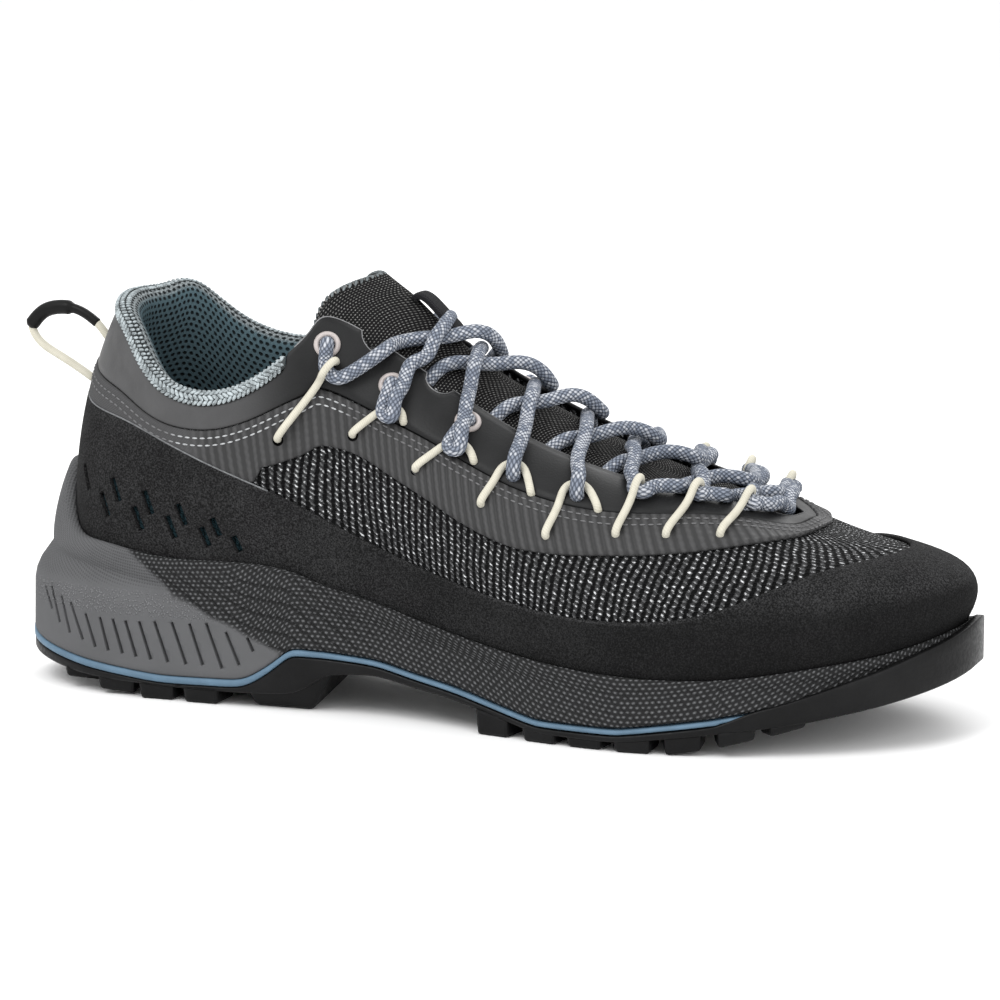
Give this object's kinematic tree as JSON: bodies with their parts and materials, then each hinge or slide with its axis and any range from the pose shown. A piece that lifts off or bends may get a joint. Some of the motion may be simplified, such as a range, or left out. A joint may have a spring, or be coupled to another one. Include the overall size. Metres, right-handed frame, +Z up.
{
  "type": "approach shoe",
  "caption": "Low-cut approach shoe with a lugged sole, toe wrap, rand to the heel, padded knit collar, tongue, cord lace loops, crossed lace and heel pull loop.",
  "frame": {"origin": "centre of the flat heel tread lug, on the floor under the heel", "axes": "+X towards the toe, +Y towards the inner (medial) side of the foot, +Z up from the floor"},
  "size_m": [0.283, 0.0982, 0.121],
  "materials": {
    "outsole": "matte moulded rubber, black",
    "edge_line": "satin, light steel blue",
    "midsole": "matte foam with a fine stipple, mid grey",
    "footbed": "matte knit, dark slate",
    "upper_mesh": "matte black mesh with light flecks",
    "rand": "matte microsuede, near black",
    "film": "satin ribbed film, dark grey",
    "panel": "satin smooth film, dark grey",
    "lining": "padded knit, slate blue with a light blue-grey edge",
    "tongue": "matte dark padded cloth",
    "webbing": "black webbing",
    "lace": "round braid, blue-grey with light flecks",
    "pull_cord": "cream braided cord",
    "sleeve": "matte black tube",
    "eyelet": "pale pinkish grey, satin",
    "loop_cord": "cream cord"
  },
  "bodies": {
    "root": {"outsole": "outsole", "outsole_edge_line": "edge_line", "midsole": "midsole", "insole": "footbed", "upper": "upper_mesh", "rand": "rand", "eyestay": "film", "collar_panel": "panel", "collar_lining": "lining", "tongue": "tongue", "tongue_keeper": "webbing", "lace": "lace", "pull_loop": "pull_cord", "pull_loop_sleeve": "sleeve", "eyelet_lateral_1": "eyelet", "eyelet_lateral_2": "eyelet", "eyelet_lateral_3": "eyelet", "lace_loop_lateral_1": "loop_cord", "lace_loop_lateral_2": "loop_cord", "lace_loop_lateral_3": "loop_cord", "lace_loop_lateral_4": "loop_cord", "lace_loop_lateral_5": "loop_cord", "lace_loop_lateral_6": "loop_cord", "lace_loop_lateral_7": "loop_cord", "lace_loop_lateral_8": "loop_cord", "eyelet_medial_1": "eyelet", "eyelet_medial_2": "eyelet", "eyelet_medial_3": "eyelet", "lace_loop_medial_1": "loop_cord", "lace_loop_medial_2": "loop_cord", "lace_loop_medial_3": "loop_cord", "lace_loop_medial_4": "loop_cord", "lace_loop_medial_5": "loop_cord", "lace_loop_medial_6": "loop_cord", "lace_loop_medial_7": "loop_cord", "lace_loop_medial_8": "loop_cord"}
  },
  "joints": []
}
